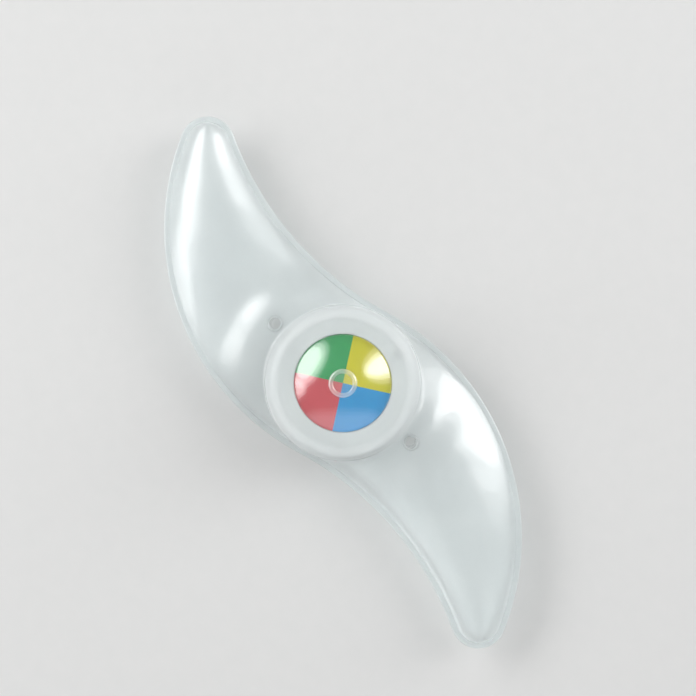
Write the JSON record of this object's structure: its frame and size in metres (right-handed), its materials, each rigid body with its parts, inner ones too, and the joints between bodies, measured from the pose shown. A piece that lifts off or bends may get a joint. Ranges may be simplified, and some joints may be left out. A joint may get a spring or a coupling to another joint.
{
  "type": "bicycle spoke light",
  "caption": "S-shaped translucent wheel light for bicycle spokes, with a domed push button over a four-colour disc and a coin-slot battery door behind.",
  "frame": {"origin": "on the hub's axis, in the plane of the rear rim that the light rests on", "axes": "+X from the hub to one blade tip along the length, +Y to the left of it in the wheel's plane, +Z out of the front along the button's axis"},
  "size_m": [0.1324, 0.0514, 0.0197],
  "materials": {
    "shell_plastic": "soft milky translucent plastic, glossy",
    "white_plastic": "moulded white, fine satin",
    "lens_plastic": "clear, polished",
    "yellow_film": "printed film under the lens",
    "green_film": "printed film under the lens",
    "red_film": "printed film under the lens",
    "blue_film": "printed film under the lens",
    "bright_steel": "nickel plated",
    "cell_steel": "drawn steel can",
    "board_laminate": "green solder mask",
    "black_plastic": "moulded black",
    "black_resin": "cured resin",
    "diode_resin": "clear resin",
    "seal_rubber": "black rubber"
  },
  "bodies": {
    "body": {"front_shell": "shell_plastic", "rear_shell": "shell_plastic", "module_case": "white_plastic", "module_bezel": "white_plastic", "bezel_screws": "white_plastic", "circuit_board": "board_laminate", "switch_body": "black_plastic", "switch_frame": "bright_steel", "control_chip": "black_resin", "resistors": "black_resin", "led_right": "diode_resin", "led_left": "diode_resin", "led_leads": "bright_steel", "negative_contact": "bright_steel", "positive_contact": "bright_steel", "cell_front": "cell_steel", "cell_rear": "cell_steel"},
    "button": {"button_plate": "white_plastic", "film_yellow": "yellow_film", "film_green": "green_film", "film_red": "red_film", "film_blue": "blue_film", "button_lens": "lens_plastic"},
    "plunger": {"switch_plunger": "black_plastic"},
    "battery_door": {"battery_door": "white_plastic", "door_seal_ring": "seal_rubber"}
  },
  "joints": [
    {"name": "button_press", "type": "slide", "parent": "body", "child": "button", "axis": [0, 0, -1], "range_m": [0, 0.0005], "stiffness_N_per_m": 400, "springref_m": -0.004},
    {"name": "plunger_press", "type": "slide", "parent": "body", "child": "plunger", "axis": [0, 0, -1], "range_m": [0, 0.0005]},
    {"name": "door_turn", "type": "hinge", "parent": "body", "child": "battery_door", "pos_m": [0, 0, 0], "axis": [0, 0, -1], "range_deg": [0, 40]}
  ],
  "couplings": [
    {"joint": "plunger_press", "follows": "button_press", "ratio": 1}
  ]
}
